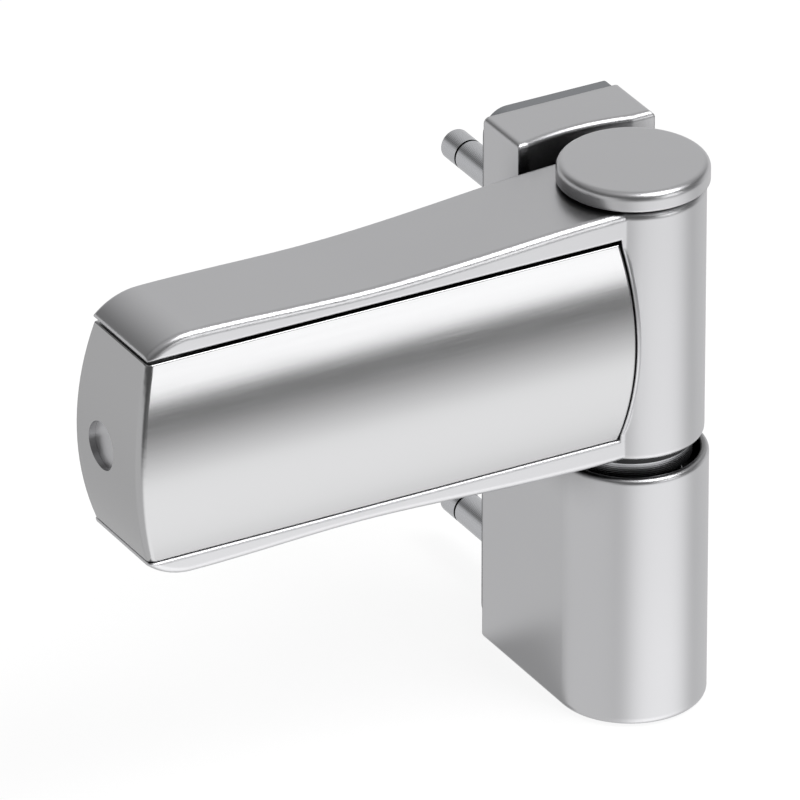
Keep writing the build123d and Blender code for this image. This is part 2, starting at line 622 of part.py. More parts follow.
# Front cover: bowed front and end, hollow behind, with two stiffening ribs
END_R = (COVER_HALF**2 + END_BULGE**2) / (2 * END_BULGE)
END_Y = AXIS_Y + TIP_BACK - END_BACK
with BuildPart() as cover_core:
    with BuildSketch(Plane.YZ.offset(-COVER_END)):
        with Locations((COVER_CROWN + COVER_R, COVER_Z)):
            Circle(COVER_R - COVER_T)
    extrude(amount=COVER_END)
    with BuildSketch(cover_back):
        with Locations((END_R - COVER_END, 0)):
            Circle(END_R - COVER_T)
            Rectangle(COVER_END, 2 * (END_R - COVER_T), align=(Align.MIN, Align.CENTER))
    extrude(amount=AXIS_DEPTH, mode=Mode.INTERSECT)
with BuildPart() as front_cover:
    with BuildSketch(Plane.YZ.offset(-COVER_END)):
        with BuildLine():
            bow = ThreePointArc(
                (COVER_EDGE, COVER_Z - COVER_HALF), (COVER_CROWN, COVER_Z), (COVER_EDGE, COVER_Z + COVER_HALF)
            )
            Polyline(bow @ 1, (END_Y, COVER_Z + COVER_HALF), (END_Y, COVER_Z - COVER_HALF), bow @ 0)
        make_face()
    extrude(amount=COVER_END)
    with BuildSketch(cover_back):
        with BuildLine():
            near = ThreePointArc((-ROOT_X, COVER_HALF), (ROOT_BULGE - ROOT_X, 0), (-ROOT_X, -COVER_HALF))
            far = ThreePointArc((-ARM_TIP, -COVER_HALF), (-COVER_END, 0), (-ARM_TIP, COVER_HALF))
            Line(near @ 1, far @ 0)
            Line(far @ 1, near @ 0)
        make_face()
    extrude(amount=AXIS_DEPTH, mode=Mode.INTERSECT)
    corner = front_cover.edges().sort_by(lambda e: e.center().X + e.center().Y)[0]
    fillet(corner, END_EDGE_R)
    brink = front_cover.edges().filter_by(lambda e: e.length > NECK_X and e.center().Y < COVER_EDGE + END_EDGE_R)
    fillet(brink, COVER_EDGE_R)
    add(cover_core.part, mode=Mode.SUBTRACT)
    for rib_x in (RIB_X - COVER_RIB_GAP - COVER_RIB_SPACING, RIB_X - COVER_RIB_GAP):
        with BuildSketch(Plane.YZ.offset(-rib_x)):
            with BuildLine():
                bow = ThreePointArc(
                    (COVER_EDGE + COVER_T, COVER_Z - COVER_HALF),
                    (COVER_CROWN + COVER_T / 2, COVER_Z),
                    (COVER_EDGE + COVER_T, COVER_Z + COVER_HALF),
                )
                Polyline(
                    bow @ 1,
                    (COVER_EDGE + COVER_RIB_H, COVER_Z + COVER_HALF),
                    (COVER_EDGE + COVER_RIB_H, COVER_Z - COVER_HALF),
                    bow @ 0,
                )
            make_face()
        extrude(amount=-COVER_RIB_T)
    with BuildSketch(Plane.YZ.offset(-COVER_END)):
        with Locations((AXIS_Y, COVER_Z)):
            Circle(PLUG_D / 2)
    extrude(amount=END_BULGE, mode=Mode.SUBTRACT)
front_cover.part.label = "front_cover"

# Plug behind the hole in the cover's end
PLUG_R = PLUG_D / 2 - SEAT_FIT
PLUG_BACK = COVER_T - COVER_END + AXIAL_FIT + (PLUG_R + PLUG_FLANGE_W) ** 2 / (2 * (END_R - COVER_T))
with BuildPart() as end_plug:
    with BuildSketch(plug_section):
        with BuildLine():
            Polyline(
                (PLUG_SUNK - COVER_END, 0),
                (PLUG_SUNK - COVER_END, PLUG_R),
                (PLUG_BACK, PLUG_R),
                (PLUG_BACK, PLUG_R + PLUG_FLANGE_W),
                (PLUG_BACK + PLUG_FLANGE_T, PLUG_R + PLUG_FLANGE_W),
                (PLUG_BACK + PLUG_FLANGE_T, 0),
                close=True,
            )
        make_face()
    revolve(axis=PLUG_AXIS)
end_plug.part.label = "end_plug"

# Sash plate, screwed to the door leaf
with BuildPart() as sash_plate:
    with BuildSketch(sash_back) as sash_face:
        with Locations((SASH_X, 0)):
            RectangleRounded(SASH_L, SASH_H, SASH_CORNER)
        with Locations((-NUT_X, 0)):
            Rectangle(NUT_TENON + 2 * SEAT_FIT, NUT_TENON + 2 * SEAT_FIT, mode=Mode.SUBTRACT)
        with Locations((-CLAMP_X, 0)):
            with GridLocations(0, CLAMP_Z, 1, 2):
                Circle(CLAMP_D / 2 + SEAT_FIT, mode=Mode.SUBTRACT)
    extrude(amount=SASH_T)
    with Locations(sash_front):
        with Locations((SASH_X, 0)):
            with GridLocations(SASH_HOLE_X, SASH_HOLE_Z, 2, 2):
                CounterSinkHole(SASH_HOLE_D / 2, SASH_HEAD_D / 2)
sash_plate.part.label = "sash_plate"

# Slide nut, its tenon staked through the sash plate
with BuildPart() as slide_nut:
    with BuildSketch(sash_front):
        with Locations((-NUT_X, 0)):
            Rectangle(NUT_L, NUT_H)
    extrude(amount=SASH_FRONT - AXIS_Y + NUT_FRONT)
    with BuildSketch(sash_front):
        with Locations((-NUT_X, 0)):
            Rectangle(NUT_TENON, NUT_TENON)
    extrude(amount=-SASH_T)
    with BuildSketch(Plane.YZ.offset(-NUT_X - NUT_L / 2)):
        with Locations((AXIS_Y, ARM_Z)):
            Circle(LATERAL_D / 2 + RUN_FIT)
    extrude(amount=NUT_L, mode=Mode.SUBTRACT)
slide_nut.part.label = "slide_nut"

# Clamp screws and their washers
WASHER_Y = AXIS_Y + WALL_FRONT - CLEAR
HEAD_Y = WASHER_Y - WASHER_T
washer_face = Plane(origin=(-CLAMP_X, WASHER_Y, ARM_Z), x_dir=(1, 0, 0), z_dir=(0, -1, 0))
head_face = Plane(origin=(-CLAMP_X, HEAD_Y, ARM_Z), x_dir=(1, 0, 0), z_dir=(0, -1, 0))
with BuildPart() as clamp_screws:
    with BuildSketch(head_face):
        with GridLocations(0, CLAMP_Z, 1, 2):
            Circle(CLAMP_HEAD_D / 2)
    extrude(amount=CLAMP_HEAD_T)
    with BuildSketch(head_face):
        with GridLocations(0, CLAMP_Z, 1, 2):
            Circle(CLAMP_D / 2)
    extrude(amount=HEAD_Y - SASH_BACK)
    with BuildSketch(head_face.offset(CLAMP_HEAD_T)):
        with GridLocations(0, CLAMP_Z, 1, 2):
            RegularPolygon(CLAMP_HEX / 2, 6, major_radius=False)
    extrude(amount=-CLAMP_HEX_DEPTH, mode=Mode.SUBTRACT)
clamp_screws.part.label = "clamp_screws"
with BuildPart() as clamp_washers:
    with BuildSketch(washer_face):
        with GridLocations(0, CLAMP_Z, 1, 2):
            Circle(WASHER_D / 2)
            Circle(CLAMP_D / 2 + SEAT_FIT, mode=Mode.SUBTRACT)
    extrude(amount=WASHER_T)
clamp_washers.part.label = "clamp_washers"

# Lateral screw, captive in the rib between its head and the retaining clip
CLIP_X = -RIB_X + AXIAL_FIT
HEAD_X = RIB_OUT - AXIAL_FIT
LATERAL_R = LATERAL_D / 2
with BuildPart() as lateral_screw:
    with BuildSketch(screw_section):
        with BuildLine():
            Polyline(
                (HEAD_X - LATERAL_HEAD_T, 0),
                (HEAD_X - LATERAL_HEAD_T, LATERAL_HEAD_D / 2),
                (HEAD_X, LATERAL_HEAD_D / 2),
                (HEAD_X, LATERAL_R),
                (CLIP_X, LATERAL_R),
                (CLIP_X, LATERAL_R - CLIP_GROOVE),
                (CLIP_X + CLIP_T, LATERAL_R - CLIP_GROOVE),
                (CLIP_X + CLIP_T, LATERAL_R),
                (LATERAL_L - RIB_X, LATERAL_R),
                (LATERAL_L - RIB_X, 0),
                close=True,
            )
        make_face()
    revolve(axis=SCREW_AXIS)
    with BuildSketch(Plane.YZ.offset(HEAD_X - LATERAL_HEAD_T)):
        with Locations((AXIS_Y, ARM_Z)):
            RegularPolygon(LATERAL_HEX / 2, 6, major_radius=False)
    extrude(amount=LATERAL_HEX_DEPTH, mode=Mode.SUBTRACT)
lateral_screw.part.label = "lateral_screw"
with BuildPart() as retaining_clip:
    with BuildSketch(Plane.YZ.offset(CLIP_X)):
        with Locations((AXIS_Y, ARM_Z)):
            Circle(CLIP_D / 2)
            Circle(LATERAL_R - CLIP_GROOVE + SEAT_FIT, mode=Mode.SUBTRACT)
            Rectangle(LATERAL_D - 2 * CLIP_GROOVE, CLIP_D, align=(Align.CENTER, Align.MAX), mode=Mode.SUBTRACT)
    extrude(amount=CLIP_T)
retaining_clip.part.label = "retaining_clip"

os.makedirs("parts", exist_ok=True)
for piece in (
    frame_housing,
    base_plate,
    upper_stud,
    lower_stud,
    lock_screw,
    height_screw,
    thrust_pad,
    eccentric_bush,
    pin_sleeve,
    hinge_pin,
    lower_bush,
    upper_bush,
    top_cap,
    leaf_body,
    front_cover,
    end_plug,
    sash_plate,
    slide_nut,
    clamp_screws,
    clamp_washers,
    lateral_screw,
    retaining_clip,
):
    export_step(piece.part, f"parts/{piece.part.label}.step")
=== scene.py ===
"""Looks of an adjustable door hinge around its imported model.

Finishes for the CAD pieces, a stage with its lights, and the camera.
"""
import math

import bmesh
import bpy
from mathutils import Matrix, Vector


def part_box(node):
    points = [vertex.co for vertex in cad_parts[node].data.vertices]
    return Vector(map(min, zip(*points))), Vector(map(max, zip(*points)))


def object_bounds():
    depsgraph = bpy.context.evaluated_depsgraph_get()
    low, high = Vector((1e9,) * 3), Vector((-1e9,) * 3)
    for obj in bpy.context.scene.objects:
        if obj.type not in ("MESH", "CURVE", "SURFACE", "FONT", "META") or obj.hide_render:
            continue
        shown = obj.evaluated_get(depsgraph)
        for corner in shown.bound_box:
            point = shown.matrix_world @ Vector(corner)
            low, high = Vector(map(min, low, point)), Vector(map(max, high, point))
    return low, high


bl_info = {
    "name": "Door Hinge Looks",
    "version": (1, 0, 0),
    "blender": (4, 5, 0),
    "location": "View3D > Sidebar > Hinge",
    "description": "Finishes, stage, lights and camera for an adjustable door hinge",
    "category": "Object",
}

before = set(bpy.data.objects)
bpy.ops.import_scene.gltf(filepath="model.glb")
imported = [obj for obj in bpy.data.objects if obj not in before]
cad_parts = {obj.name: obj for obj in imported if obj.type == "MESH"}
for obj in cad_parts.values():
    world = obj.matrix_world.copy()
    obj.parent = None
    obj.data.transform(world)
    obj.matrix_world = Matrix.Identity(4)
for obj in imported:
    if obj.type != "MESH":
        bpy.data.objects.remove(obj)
CAD_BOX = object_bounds()
UNDERSIDE = CAD_BOX[0].z

# Surface patterns and reliefs, in metres
LACQUER_PATCH = 0.018       # slow drift of the lacquer's tone
CASTING_EDGE = 0.0004       # rounding of the castings' edges under the lacquer
# Painted shade: ambient occlusion darkens the colour where other surfaces come this near
PAINTED_SHADE_REACH = 0.01        # how near other surfaces darken a place
BRUSH_STRETCH = 40          # length of a brush line in pitches
BRUSH_RELIEF = 0.00002
FLAKE = 0.0003              # metal flakes in the plug's lacquer
PEEL = 0.0009               # orange peel of the powder coat
PEEL_RELIEF = 0.00006
WAVE_REPEAT = math.pi / 10  # a wave texture's bands repeat over this length at scale 1
TURNING_RELIEF = 0.00003
BLOTCH = 0.0008             # blotches of the phosphate
STIPPLE = 0.0005            # stipple of the mould
STIPPLE_RELIEF = 0.00004

# Stage, in metres, with levels where 1 is white
FLOOR_DROP = 0.0002         # floor below the hinge, so that the two don't touch
FLOOR_GLOW = 0.82           # part of the floor's white that no shadow takes away
FLOOR_SHADED = 0.25         # share of its colour that takes light and shadow
FLOOR_BOUNCE = 0.8          # share of its colour that it throws back on the hinge
TENT_SIZE = 0.9             # tent's radius as a share of the floor's
TENT_BRIGHT = (0.259, -0.966, 0.0)   # its bright side, ahead on the right
TENT_PANEL = (0.429, 0.772, 0.469)   # its panel, up behind
TENT_DARK = 0.1
# Painted shadow: level of the dark card that stands in for the hinge's shadow on the floor in
# reflections
PAINTED_SHADOW_GLOW = 0.33
CARD_FADE = 0.004           # half the width of the card's soft edge
CARD_SHORT = 0.0005         # soft edge ahead of the housing's back
CARD_LEAD = 0.003           # card's tip ahead of where the housing's side starts to curve
CARD_SLOPE = 1.8            # slant of its outer edge, which keeps it off the round front
CARD_LIFT = 0.0001
WORLD_FILL = 0.6


class HingeFinishes(bpy.types.PropertyGroup):
    """Colours and surface sizes of the hinge's materials."""

    casting_colour: bpy.props.StringProperty(
        name="Casting", default="#DADADC",
        description="Satin silver of the housing, leaf and cap, sRGB hex",
    )
    casting_roughness: bpy.props.FloatProperty(
        name="Casting roughness", default=0.31, min=0.0, max=1.0, subtype="FACTOR",
        description="Sheen of the castings",
    )
    casting_grain: bpy.props.FloatProperty(
        name="Casting grain", default=0.0004, unit="LENGTH",
        description="Grain of the lacquered casting",
    )
    cover_colour: bpy.props.StringProperty(
        name="Cover", default="#C6C6C7",
        description="Anodised aluminium of the front cover, sRGB hex",
    )
    cover_roughness: bpy.props.FloatProperty(
        name="Cover roughness", default=0.2, min=0.0, max=1.0, subtype="FACTOR",
        description="Sheen of the cover",
    )
    cover_brush: bpy.props.FloatProperty(
        name="Brush pitch", default=0.00025, unit="LENGTH",
        description="Spacing of the fine brush lines on the cover",
    )
    plate_colour: bpy.props.StringProperty(
        name="Base plate", default="#787A7D",
        description="Grey coating of the base plate, sRGB hex",
    )
    steel_colour: bpy.props.StringProperty(
        name="Turned steel", default="#D8D9DC",
        description="Studs, pin and other turned pieces, sRGB hex",
    )
    turning_pitch: bpy.props.FloatProperty(
        name="Turning pitch", default=0.0003, unit="LENGTH",
        description="Spacing of the turning marks",
    )
    zinc_colour: bpy.props.StringProperty(
        name="Zinc", default="#C6C9CE",
        description="Zinc-plated screws and sash plate, sRGB hex",
    )
    zinc_spangle: bpy.props.FloatProperty(
        name="Zinc mottle", default=0.0012, unit="LENGTH",
        description="Size of the mottle in the zinc plating",
    )
    spring_colour: bpy.props.StringProperty(
        name="Spring steel", default="#3A3A3D",
        description="Phosphated retaining clip, sRGB hex",
    )
    polymer_colour: bpy.props.StringProperty(
        name="Polymer", default="#232326",
        description="Moulded bushes and sleeve, sRGB hex",
    )
    plug_colour: bpy.props.StringProperty(
        name="End plug", default="#D2D2D4",
        description="Silver-coloured plug in the cover's end, sRGB hex",
    )


class HingeStage(bpy.types.PropertyGroup):
    """Floor, lights and camera."""

    floor_colour: bpy.props.StringProperty(
        name="Floor", default="#FFFFFF",
        description="Floor colour, sRGB hex",
    )
    floor_radius: bpy.props.FloatProperty(
        name="Floor radius", default=1.6, unit="LENGTH",
        description="Size of the floor",
    )
    softbox_power: bpy.props.FloatProperty(
        name="Softbox", default=0.65, unit="POWER",
        description="Power of the softbox",
    )
    key_power: bpy.props.FloatProperty(
        name="Key", default=1.4, unit="POWER",
        description="Power of the overhead key light",
    )
    camera_place: bpy.props.FloatVectorProperty(
        name="Camera", default=(-0.9591, -1.6783, 1.0256), subtype="TRANSLATION",
        description="Where the camera stands",
    )
    camera_aim: bpy.props.FloatVectorProperty(
        name="Aim", default=(-0.03026, -0.00956, 0.01146), subtype="TRANSLATION",
        description="Point in the middle of the picture",
    )
    camera_lens: bpy.props.FloatProperty(
        name="Lens", default=649.9, unit="CAMERA",
        description="Focal length in millimetres",
    )


def linear(code):
    """An sRGB hex colour as linear RGBA."""
    parts = [int(code[i:i + 2], 16) / 255 for i in (1, 3, 5)]
    return [c / 12.92 if c <= 0.04045 else ((c + 0.055) / 1.055) ** 2.4 for c in parts] + [1.0]


def add(tree, kind, inputs, **settings):
    """Add a node with its settings, input values and input links."""
    node = tree.nodes.new(kind)
    for name, value in settings.items():
        setattr(node, name, value)
    for name, value in inputs.items():
        if isinstance(value, bpy.types.NodeSocket):
            tree.links.new(value, node.inputs[name])
        else:
            node.inputs[name].default_value = value
    return node


def blank(name):
    """An empty node material and its tree."""
    material = bpy.data.materials.new(name)
    material.use_nodes = True
    material.node_tree.nodes.clear()
    return material, material.node_tree


def painted_crevice_shade(tree, colour, facing_down):
    """The colour with shade painted in: darkened in narrow places, all of them or only on surfaces
    that face down.
    """
    around = add(tree, "ShaderNodeAmbientOcclusion", {"Distance": PAINTED_SHADE_REACH}, samples=6)
    shade = add(
        tree, "ShaderNodeMapRange",
        {"Value": around.outputs["AO"],
         "From Min": 0.35, "From Max": 0.9, "To Min": 0.03, "To Max": 1.0},
    ).outputs["Result"]
    if facing_down:
        normal = add(tree, "ShaderNodeNewGeometry", {}).outputs["Normal"]
        height = add(tree, "ShaderNodeSeparateXYZ", {"Vector": normal}).outputs["Z"]
        spared = add(
            tree, "ShaderNodeMapRange", {"Value": height, "From Min": -0.3, "From Max": -0.05}
        ).outputs["Result"]
        shade = add(
            tree, "ShaderNodeMath", {0: shade, 1: spared}, operation="MAXIMUM"
        ).outputs["Value"]
    return add(
        tree, "ShaderNodeVectorMath", {0: colour, "Scale": shade}, operation="SCALE"
    ).outputs["Vector"]


def seen(tree):
    """1 for rays that show a surface, straight or by reflection, and 0 for light that fills."""
    rays = add(tree, "ShaderNodeLightPath", {}).outputs
    share = rays["Is Camera Ray"]
    for kind in ("Is Glossy Ray", "Is Transmission Ray"):
        share = add(
            tree, "ShaderNodeMath", {0: share, 1: rays[kind]}, operation="MAXIMUM"
        ).outputs["Value"]
    return share


def dress(material, *nodes):
    """Give CAD nodes a finish."""
    for name in nodes:
        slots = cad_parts[name].data.materials
        slots.clear()
        slots.append(material)


def mesh_object(name, bm, material):
    """A bmesh as an object at the origin."""
    bmesh.ops.recalc_face_normals(bm, faces=bm.faces[:])
    mesh = bpy.data.meshes.new(name)
    bm.to_mesh(mesh)
    bm.free()
    mesh.materials.append(material)
    piece = bpy.data.objects.new(name, mesh)
    bpy.context.scene.collection.objects.link(piece)
    return piece


def only_reflected(piece):
    """Hide a stage object from everything but reflections."""
    piece.visible_camera = False
    piece.visible_diffuse = False
    piece.visible_transmission = False
    piece.visible_shadow = False


def turn_towards(holder, aim):
    """Point a lamp or camera at a place."""
    holder.rotation_euler = (Vector(aim) - holder.location).to_track_quat("-Z", "Y").to_euler()


class HINGE_OT_castings(bpy.types.Operator):
    """Zinc die castings under a satin silver lacquer"""

    bl_idname = "hinge.castings"
    bl_label = "Castings"

    def execute(self, context):
        look = context.scene.hinge_finishes
        # Fine powdery grain softens the metal's sheen, and the lacquer's tone drifts a little over
        # the piece and rounds its edges. Shade is painted into narrow places from how near other
        # surfaces are. The leaf's seams keep their light line, so on the leaf the painted shade goes
        # only where it faces down
        for name, nodes in (
            ("zinc_diecast_satin_lacquer_leaf", ("leaf_body",)),
            ("zinc_diecast_satin_lacquer_housing", ("frame_housing", "top_cap")),
        ):
            material, tree = blank(name)
            place = add(tree, "ShaderNodeTexCoord", {}).outputs["Object"]
            grain = add(
                tree, "ShaderNodeTexNoise",
                {"Vector": place, "Scale": 1 / look.casting_grain, "Detail": 1.0},
            )
            drift = add(
                tree, "ShaderNodeTexNoise",
                {"Vector": place, "Scale": 1 / LACQUER_PATCH, "Detail": 2.0},
            )
            base = linear(look.casting_colour)
            tone = add(
                tree, "ShaderNodeMix",
                {"Factor": drift.outputs["Fac"], "A": [0.97 * c for c in base], "B": base},
                data_type="RGBA",
            ).outputs["Result"]
            # Painted shade in narrow places
            tone = painted_crevice_shade(tree, tone, facing_down="leaf_body" in nodes)
            sheen = add(
                tree, "ShaderNodeMapRange",
                {"Value": grain.outputs["Fac"],
                 "To Min": look.casting_roughness - 0.01, "To Max": look.casting_roughness + 0.01},
            )
            rounded = add(tree, "ShaderNodeBevel", {"Radius": CASTING_EDGE}, samples=6)
            shader = add(
                tree, "ShaderNodeBsdfPrincipled",
                {"Base Color": tone, "Metallic": 1.0, "Roughness": sheen.outputs["Result"],
                 "Normal": rounded.outputs["Normal"]},
            )
            add(tree, "ShaderNodeOutputMaterial", {"Surface": shader.outputs["BSDF"]})
            dress(material, *nodes)
        return {"FINISHED"}


class HINGE_OT_cover(bpy.types.Operator):
    """Anodised aluminium cover, brushed along the arm"""

    bl_idname = "hinge.cover"
    bl_label = "Front cover"

    def execute(self, context):
        look = context.scene.hinge_finishes
        # Fine lines along the arm, many times longer than their pitch, under a satin anodised skin
        material, tree = blank("aluminium_brushed_anodised")
        place = add(tree, "ShaderNodeTexCoord", {}).outputs["Object"]
        along = add(
            tree, "ShaderNodeMapping", {"Vector": place, "Scale": (1 / BRUSH_STRETCH, 1.0, 1.0)}
        )
        brush = add(
            tree, "ShaderNodeTexNoise",
            {"Vector": along.outputs["Vector"], "Scale": 1 / look.cover_brush, "Detail": 2.0},
        )
        base = linear(look.cover_colour)
        tone = add(
            tree, "ShaderNodeMix",
            {"Factor": brush.outputs["Fac"], "A": [0.96 * c for c in base], "B": base},
            data_type="RGBA",
        )
        sheen = add(
            tree, "ShaderNodeMapRange",
            {"Value": brush.outputs["Fac"],
             "To Min": look.cover_roughness - 0.03, "To Max": look.cover_roughness + 0.05},
        )
        bump = add(
            tree, "ShaderNodeBump",
            {"Height": brush.outputs["Fac"], "Strength": 0.04, "Distance": BRUSH_RELIEF},
        )
        shader = add(
            tree, "ShaderNodeBsdfPrincipled",
            {"Base Color": tone.outputs["Result"], "Metallic": 1.0,
             "Roughness": sheen.outputs["Result"], "Normal": bump.outputs["Normal"]},
        )
        add(tree, "ShaderNodeOutputMaterial", {"Surface": shader.outputs["BSDF"]})
        dress(material, "front_cover")
        return {"FINISHED"}


class HINGE_OT_plug(bpy.types.Operator):
    """Silver-lacquered plug in the cover's end"""

    bl_idname = "hinge.plug"
    bl_label = "End plug"

    def execute(self, context):
        look = context.scene.hinge_finishes
        # ABS under silver lacquer: metal flakes give a softer, duller sheen than the casting
        material, tree = blank("abs_moulded_silver_lacquer")
        place = add(tree, "ShaderNodeTexCoord", {}).outputs["Object"]
        flake = add(
            tree, "ShaderNodeTexNoise", {"Vector": place, "Scale": 1 / FLAKE, "Detail": 2.0}
        )
        sheen = add(
            tree, "ShaderNodeMapRange",
            {"Value": flake.outputs["Fac"], "To Min": 0.3, "To Max": 0.4},
        )
        shader = add(
            tree, "ShaderNodeBsdfPrincipled",
            {"Base Color": linear(look.plug_colour), "Metallic": 0.9,
             "Roughness": sheen.outputs["Result"]},
        )
        add(tree, "ShaderNodeOutputMaterial", {"Surface": shader.outputs["BSDF"]})
        dress(material, "end_plug")
        return {"FINISHED"}


class HINGE_OT_plate(bpy.types.Operator):
    """Grey coated base plate"""

    bl_idname = "hinge.plate"
    bl_label = "Base plate"

    def execute(self, context):
        look = context.scene.hinge_finishes
        # Powder coat: a matt skin with a fine orange-peel relief
        material, tree = blank("steel_powder_coated_grey")
        place = add(tree, "ShaderNodeTexCoord", {}).outputs["Object"]
        peel = add(tree, "ShaderNodeTexNoise", {"Vector": place, "Scale": 1 / PEEL, "Detail": 2.0})
        bump = add(
            tree, "ShaderNodeBump",
            {"Height": peel.outputs["Fac"], "Strength": 0.25, "Distance": PEEL_RELIEF},
        )
        shader = add(
            tree, "ShaderNodeBsdfPrincipled",
            {"Base Color": linear(look.plate_colour), "Roughness": 0.5,
             "Normal": bump.outputs["Normal"]},
        )
        add(tree, "ShaderNodeOutputMaterial", {"Surface": shader.outputs["BSDF"]})
        dress(material, "base_plate")
        return {"FINISHED"}


class HINGE_OT_turned(bpy.types.Operator):
    """Turned steel studs, pin, thrust pad and eccentric, and the nut"""

    bl_idname = "hinge.turned"
    bl_label = "Turned pieces"

    def execute(self, context):
        look = context.scene.hinge_finishes
        # Turning marks ring each piece, so the studs' run along Y and the barrel's along Z.
        # The studs' groove and other narrow places get painted shade
        for name, axis, nodes in (
            ("steel_turned_studs", "Y", ("upper_stud", "lower_stud")),
            ("steel_turned_barrel", "Z",
             ("hinge_pin", "thrust_pad", "eccentric_bush", "slide_nut")),
        ):
            material, tree = blank(name)
            place = add(tree, "ShaderNodeTexCoord", {}).outputs["Object"]
            marks = add(
                tree, "ShaderNodeTexWave",
                {"Vector": place, "Scale": WAVE_REPEAT / look.turning_pitch,
                 "Distortion": 0.4, "Detail": 1.0},
                wave_type="BANDS", bands_direction=axis,
            )
            sheen = add(
                tree, "ShaderNodeMapRange",
                {"Value": marks.outputs["Fac"], "To Min": 0.24, "To Max": 0.36},
            )
            bump = add(
                tree, "ShaderNodeBump",
                {"Height": marks.outputs["Fac"], "Strength": 0.12, "Distance": TURNING_RELIEF},
            )
            tone = linear(look.steel_colour)
            if "upper_stud" in nodes:
                # Painted shade in the groove and other narrow places
                tone = painted_crevice_shade(tree, tone[:3], facing_down=False)
            shader = add(
                tree, "ShaderNodeBsdfPrincipled",
                {"Base Color": tone, "Metallic": 1.0, "Roughness": sheen.outputs["Result"],
                 "Normal": bump.outputs["Normal"]},
            )
            add(tree, "ShaderNodeOutputMaterial", {"Surface": shader.outputs["BSDF"]})
            dress(material, *nodes)
        return {"FINISHED"}


class HINGE_OT_zinc(bpy.types.Operator):
    """Zinc-plated screws, washers and sash plate, and the phosphated clip"""

    bl_idname = "hinge.zinc"
    bl_label = "Plated steel"

    def execute(self, context):
        look = context.scene.hinge_finishes
        # Bright zinc mottles between lighter and duller grains
        material, tree = blank("steel_zinc_plated")
        place = add(tree, "ShaderNodeTexCoord", {}).outputs["Object"]
        mottle = add(
            tree, "ShaderNodeTexVoronoi", {"Vector": place, "Scale": 1 / look.zinc_spangle}
        ).outputs["Distance"]
        base = linear(look.zinc_colour)
        tone = add(
            tree, "ShaderNodeMix",
            {"Factor": mottle, "A": base, "B": [0.86 * c for c in base]},
            data_type="RGBA",
        )
        sheen = add(
            tree, "ShaderNodeMapRange", {"Value": mottle, "To Min": 0.28, "To Max": 0.42}
        )
        shader = add(
            tree, "ShaderNodeBsdfPrincipled",
            {"Base Color": tone.outputs["Result"], "Metallic": 1.0,
             "Roughness": sheen.outputs["Result"]},
        )
        add(tree, "ShaderNodeOutputMaterial", {"Surface": shader.outputs["BSDF"]})
        dress(
            material, "lock_screw", "height_screw", "lateral_screw",
            "clamp_screws", "clamp_washers", "sash_plate",
        )

        # Phosphate leaves a dark, slightly blotched matt skin
        material, tree = blank("spring_steel_phosphated")
        place = add(tree, "ShaderNodeTexCoord", {}).outputs["Object"]
        blotch = add(
            tree, "ShaderNodeTexNoise", {"Vector": place, "Scale": 1 / BLOTCH, "Detail": 3.0}
        )
        sheen = add(
            tree, "ShaderNodeMapRange",
            {"Value": blotch.outputs["Fac"], "To Min": 0.4, "To Max": 0.6},
        )
        shader = add(
            tree, "ShaderNodeBsdfPrincipled",
            {"Base Color": linear(look.spring_colour), "Metallic": 0.6,
             "Roughness": sheen.outputs["Result"]},
        )
        add(tree, "ShaderNodeOutputMaterial", {"Surface": shader.outputs["BSDF"]})
        dress(material, "retaining_clip")
        return {"FINISHED"}


class HINGE_OT_polymer(bpy.types.Operator):
    """Moulded bearing bushes and pin sleeve"""

    bl_idname = "hinge.polymer"
    bl_label = "Bearing pieces"

    def execute(self, context):
        look = context.scene.hinge_finishes
        # Acetal straight from the mould: near black, waxy, faintly stippled
        material, tree = blank("acetal_moulded_black")
        place = add(tree, "ShaderNodeTexCoord", {}).outputs["Object"]
        stipple = add(
            tree, "ShaderNodeTexNoise", {"Vector": place, "Scale": 1 / STIPPLE, "Detail": 2.0}
        )
        bump = add(
            tree, "ShaderNodeBump",
            {"Height": stipple.outputs["Fac"], "Strength": 0.15, "Distance": STIPPLE_RELIEF},
        )
        shader = add(
            tree, "ShaderNodeBsdfPrincipled",
            {"Base Color": linear(look.polymer_colour), "Roughness": 0.38, "IOR": 1.48,
             "Normal": bump.outputs["Normal"]},
        )
        add(tree, "ShaderNodeOutputMaterial", {"Surface": shader.outputs["BSDF"]})
        dress(material, "pin_sleeve", "lower_bush", "upper_bush")
        return {"FINISHED"}


